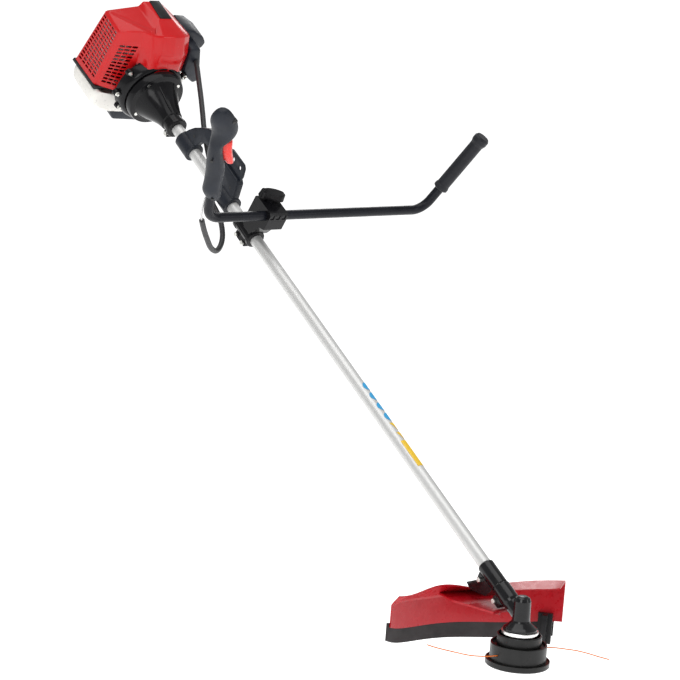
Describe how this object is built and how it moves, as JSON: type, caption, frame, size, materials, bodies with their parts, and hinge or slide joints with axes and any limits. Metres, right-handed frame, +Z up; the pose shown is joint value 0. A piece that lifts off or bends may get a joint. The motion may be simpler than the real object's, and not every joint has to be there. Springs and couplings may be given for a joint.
{
  "type": "string trimmer",
  "caption": "Petrol string trimmer with a straight drive tube, U-shaped handlebar, red guard, line head and shrouded engine.",
  "frame": {"origin": "centre of the harness hole in the hip guard, from which the machine hangs", "axes": "+Z up along the cutting head's axis in the working attitude, +Y ahead of the operator, +X to the operator's right along the harness hole"},
  "size_m": [0.8247, 1.7464, 1.2301],
  "materials": {
    "black_gloss": "gloss",
    "black_satin": "satin",
    "anthracite": "fine grain",
    "red_gloss": "gloss",
    "red_guard": "gloss",
    "cream": "translucent",
    "white_clear": "translucent",
    "orange_line": "satin",
    "rubber": "moulded",
    "black_paint": "gloss",
    "aluminium": "satin",
    "cast_alloy": "as cast",
    "zinc": "zinc plated",
    "steel": "ground",
    "ceramic": "glazed"
  },
  "bodies": {
    "engine_and_shaft": {"gearbox_bearings": "steel", "gearbox_housing": "black_paint", "shaft_tube": "aluminium", "shaft_bushes": "rubber", "guard": "red_guard", "guard_skirt": "rubber", "line_cutter": "black_satin", "guard_bracket": "black_paint", "bar_clamp_base": "black_gloss", "bar_clamp_cap": "black_gloss", "hip_guard": "anthracite", "cable_sleeve": "rubber", "throttle_cable": "rubber", "clutch_housing": "black_gloss", "cylinder": "cast_alloy", "spark_plug": "ceramic", "crankcase": "cast_alloy", "engine_cover": "red_gloss", "plug_cover": "black_satin", "muffler": "steel", "carburettor": "cast_alloy", "air_filter_cover": "anthracite", "fuel_tank": "cream", "tank_foot": "black_satin", "starter_cover": "black_satin", "bolts": "zinc"},
    "crank": {"crankshaft": "steel", "flywheel": "cast_alloy", "clutch_shoes": "steel"},
    "driveline": {"drive_shaft": "steel", "clutch_drum": "steel", "bevel_pinion": "steel"},
    "head": {"bevel_gear": "steel", "output_shaft": "steel", "drive_flange": "zinc", "dust_cup": "black_satin", "head_housing": "anthracite", "head_cover": "anthracite", "trimmer_line_right": "orange_line", "trimmer_line_left": "orange_line", "spool_spring": "steel"},
    "bump": {"bump_knob": "white_clear", "spool": "black_satin"},
    "piston_body": {"piston": "cast_alloy", "connecting_rod": "steel"},
    "bar": {"handlebar": "black_paint", "left_grip": "rubber", "throttle_grip_outer": "anthracite", "throttle_grip_inner": "anthracite", "grip_pins": "steel"},
    "clamp_screw": {"wing_knob": "black_satin"},
    "trigger": {"throttle_trigger": "red_gloss"},
    "lockout": {"throttle_lockout": "black_satin"},
    "switch": {"stop_switch": "red_gloss"},
    "choke": {"choke_lever": "black_satin"},
    "primer": {"primer_bulb": "white_clear"},
    "cap": {"fuel_cap": "black_satin"},
    "starter_grip": {"starter_handle": "black_satin"},
    "pulley": {"starter_pulley": "black_satin"}
  },
  "joints": [
    {"name": "crank_spin", "type": "hinge", "parent": "engine_and_shaft", "child": "crank", "pos_m": [0, -0.40214, 0.15742], "axis": [0, -0.8387, 0.5446], "continuous": true},
    {"name": "drive_spin", "type": "hinge", "parent": "engine_and_shaft", "child": "driveline", "pos_m": [0, 0.35266, -0.33276], "axis": [0, -0.8387, 0.5446], "continuous": true},
    {"name": "head_spin", "type": "hinge", "parent": "engine_and_shaft", "child": "head", "pos_m": [0, 1.0236, -0.81487], "axis": [0, 0, 1], "continuous": true},
    {"name": "bump_feed", "type": "slide", "parent": "head", "child": "bump", "axis": [0, 0, 1], "range_m": [0, 0.004], "stiffness_N_per_m": 2500, "springref_m": -0.002, "deforming": ["spool_spring"]},
    {"name": "piston_stroke", "type": "slide", "parent": "engine_and_shaft", "child": "piston_body", "axis": [0, -0.5446, -0.8387], "range_m": [0, 0.026]},
    {"name": "bar_tilt", "type": "hinge", "parent": "engine_and_shaft", "child": "bar", "pos_m": [0, 0.12782, -0.08777], "axis": [1, 0, 0], "range_deg": [-15, 15], "deforming": ["cable_sleeve", "throttle_cable"]},
    {"name": "clamp_screw_turn", "type": "hinge", "parent": "engine_and_shaft", "child": "clamp_screw", "pos_m": [0, 0.11191, -0.05718], "axis": [0, 0.5446, 0.8387], "continuous": true},
    {"name": "trigger_pull", "type": "hinge", "parent": "bar", "child": "trigger", "pos_m": [0.25971, 0.26477, 0.09741], "axis": [-0.9461, 0.1764, 0.2717], "range_deg": [0, 12], "stiffness_Nm_per_rad": 0.8, "springref_deg": -8.59},
    {"name": "lockout_press", "type": "hinge", "parent": "bar", "child": "lockout", "pos_m": [0.25809, 0.2429, 0.10597], "axis": [0.9461, -0.1764, -0.2717], "range_deg": [0, 6], "stiffness_Nm_per_rad": 0.8, "springref_deg": -8.59},
    {"name": "stop_slide", "type": "slide", "parent": "bar", "child": "switch", "axis": [0, 0.8387, -0.5446], "range_m": [0, 0.006]},
    {"name": "choke_turn", "type": "hinge", "parent": "engine_and_shaft", "child": "choke", "pos_m": [-0.137, -0.37484, 0.23985], "axis": [1, 0, 0], "range_deg": [0, 75]},
    {"name": "primer_press", "type": "slide", "parent": "engine_and_shaft", "child": "primer", "axis": [0, 0.8387, -0.5446], "range_m": [0, 0.004], "stiffness_N_per_m": 500, "springref_m": -0.001},
    {"name": "cap_turn", "type": "hinge", "parent": "engine_and_shaft", "child": "cap", "pos_m": [-0.02, -0.58601, 0.1552], "axis": [0, -0.8387, 0.5446], "continuous": true},
    {"name": "starter_pull", "type": "slide", "parent": "engine_and_shaft", "child": "starter_grip", "axis": [0, 0.5446, 0.8387], "range_m": [0, 0.6], "stiffness_N_per_m": 2, "springref_m": -1},
    {"name": "pulley_spin", "type": "hinge", "parent": "engine_and_shaft", "child": "pulley", "pos_m": [0, -0.49523, 0.21787], "axis": [0, -0.8387, 0.5446], "range_deg": [0, 1300]}
  ],
  "couplings": [
    {"joint": "head_spin", "follows": "drive_spin", "ratio": -0.73684},
    {"joint": "pulley_spin", "follows": "starter_pull", "rad_per_m": 37}
  ]
}
